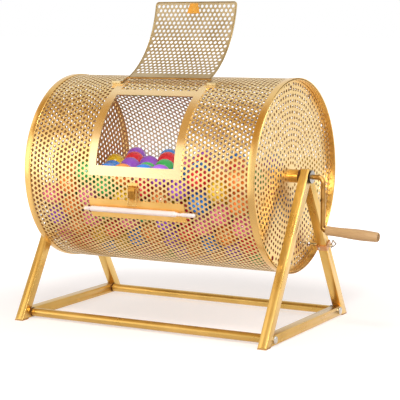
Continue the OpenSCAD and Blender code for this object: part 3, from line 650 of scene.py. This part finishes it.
def door_sheet():
    """Flat door: rows of holes across, rounded corners at its free end, a plain margin at the hinge."""
    length = math.radians(DOOR_ANGLES[1] - DOOR_ANGLES[0]) * DOOR_OUT_R
    bm = bmesh.new()
    outline = bmesh.ops.create_grid(bm, x_segments=1, y_segments=1, size=0.5)["verts"]
    bmesh.ops.scale(bm, vec=(2 * DOOR_HALF, length, 1), verts=outline)
    bmesh.ops.translate(bm, vec=(0, length / 2, 0), verts=outline)
    corners = [v for v in outline if v.co.y < 1]
    bmesh.ops.bevel(bm, geom=corners, offset=DOOR_CORNER, affect="VERTICES", segments=5, profile=0.5,
                    material=-1)
    bmesh.ops.delete(bm, geom=bm.faces[:], context="FACES_ONLY")
    for row in range(DOOR_ROWS):
        count = int(2 * DOOR_HALF / DOOR_PITCH) - row % 2
        y = DOOR_FIRST_ROW + DOOR_ROW_STEP * row
        for k in range(count):
            round_hole(bm, DOOR_HOLE_R, HOLE_SIDES, (k - (count - 1) / 2) * DOOR_PITCH, y)
    bmesh.ops.triangle_fill(bm, use_beauty=True, edges=bm.edges[:], normal=(0, 0, 1))
    for row in range(DOOR_ROWS + 1):
        y = DOOR_FIRST_ROW + DOOR_ROW_STEP * (row - 0.5)
        bmesh.ops.bisect_plane(bm, geom=everything(bm), dist=WELD, plane_co=(0, y, 0), plane_no=(0, 1, 0))
    face_up(bm)
    bmesh.ops.solidify(bm, geom=bm.faces[:], thickness=DOOR_T)
    mark_inside(bm, 0)
    return bm


# The door's inner face is painted darker and greyer than the sheet's: painted shade.
door_inside_painted_shade_gold = lacquer("dark_lacquer_inside_door_as_painted_shade", "#B4A07C", "#A08A62", 30, 1.2, 0.45, 0.5, 0.0)
door_finish = [mesh_gold, door_inside_painted_shade_gold, hole_wall_painted_shade]
hinge_place = Vector(joints["door_hinge"]["pos_m"]) / MM
door_turn = math.radians(joints["door_hinge"]["range_deg"][1])
opened = Matrix.Translation(hinge_place) @ Matrix.Rotation(-door_turn, 4, "X") @ Matrix.Translation(-hinge_place)
door = door_sheet()
roll(door, DOOR_OUT_R, DOOR_ANGLES[0])
bmesh.ops.transform(door, matrix=opened, verts=door.verts)
add_piece(door, "door_punched_sheet", "door", "mesh_gold", door_finish, "door_sheet")

# Grip: a moulded plastic rod held off the plate by two posts. It is white; the pink cast in its colour is
# painted reflection of the gold round it.
grip_white = moulded("satin_white_acetal", "#E8D8D2", "#DCCCC4", 0.8, 0.3)
finish_nodes(grip_white, "grip_rod")

# Crank handle: beech, turned on a lathe, bored for the crank's spindle and oiled. It spins on
# the spindle, held by a washer and a screw.
GRAIN_MM = 3.2
PORE_MM = 0.5
WOOD_ROUGHNESS = 0.42


def turned_wood(name, light, deep, pore):
    """Turned wood: long grain along the handle, fine dark pores, and an oiled satin surface."""
    material, tree, shader, place = new_material(name)
    along = stretched(tree, place, (0.09, 1, 1))
    grain = noise(tree, along, GRAIN_MM, 4.0, 0.6)
    pores = noise(tree, along, PORE_MM)
    wood = blend(tree, grain, deep, light)
    fleck = ramp(tree, pores, (0.62, 0.75), (0.0, 0.6))
    feed(tree, shader, {
        "Base Color": blend(tree, fleck, wood, pore),
        "Roughness": WOOD_ROUGHNESS,
        "Normal": relief(tree, grain, 0.2, 0.1),
    })
    return material


finish_nodes(turned_wood("oiled_beech", "#C4A074", "#AC8656", "#7C4E26"), "crank_handle")

# Lock: a copper-brown steel strap, screwed round the rear right leg, guides a bright steel pin
# with a bent wire pull.
copper = lacquer("copper_brown_lacquer", "#D49C68", "#BC8450", 9, 0.8, 0.34, 0.7, 0.2)
bright_wire = turned_metal("bright_drawn_wire", "#CFCAC0", "#9E988C", 0.5, 0.25)
finish_nodes(copper, "lock_bracket")
finish_nodes(bright_wire, "lock_pin", "lock_pull")

# Balls: blow-moulded glossy polypropylene, dyed through in seven colours, each with a faint
# cloudiness and small scuffs from the tumbling.
CLOUD_MM = 25
SCUFF_MM = 2.5
BALL_DYES = {
    "red": ("#FF3C4A", "#F02C3C"),
    "orange": ("#FF9A4A", "#FF8636"),
    "yellow": ("#FFD830", "#F8C818"),
    "green": ("#4ED070", "#38BC5C"),
    "blue": ("#3C9EFF", "#288AF0"),
    "purple": ("#B86CF0", "#A256DC"),
    "pink": ("#FF86B0", "#FA6E9E"),
}


def ball_plastic(name, light, deep):
    """Glossy dyed plastic with cloudy pigment and scuffs."""
    material, tree, shader, place = new_material(name)
    cloud = noise(tree, place, CLOUD_MM)
    scuff = noise(tree, place, SCUFF_MM, 4.0)
    feed(tree, shader, {
        "Base Color": blend(tree, cloud, deep, light),
        "Roughness": ramp(tree, scuff, (0.35, 0.75), (0.14, 0.3)),
        "Coat Weight": 0.5,
        "Coat Roughness": 0.06,
    })
    return material


for dye, (light, deep) in BALL_DYES.items():
    finish_nodes(ball_plastic("glossy_" + dye + "_polypropylene", light, deep), "balls_" + dye)
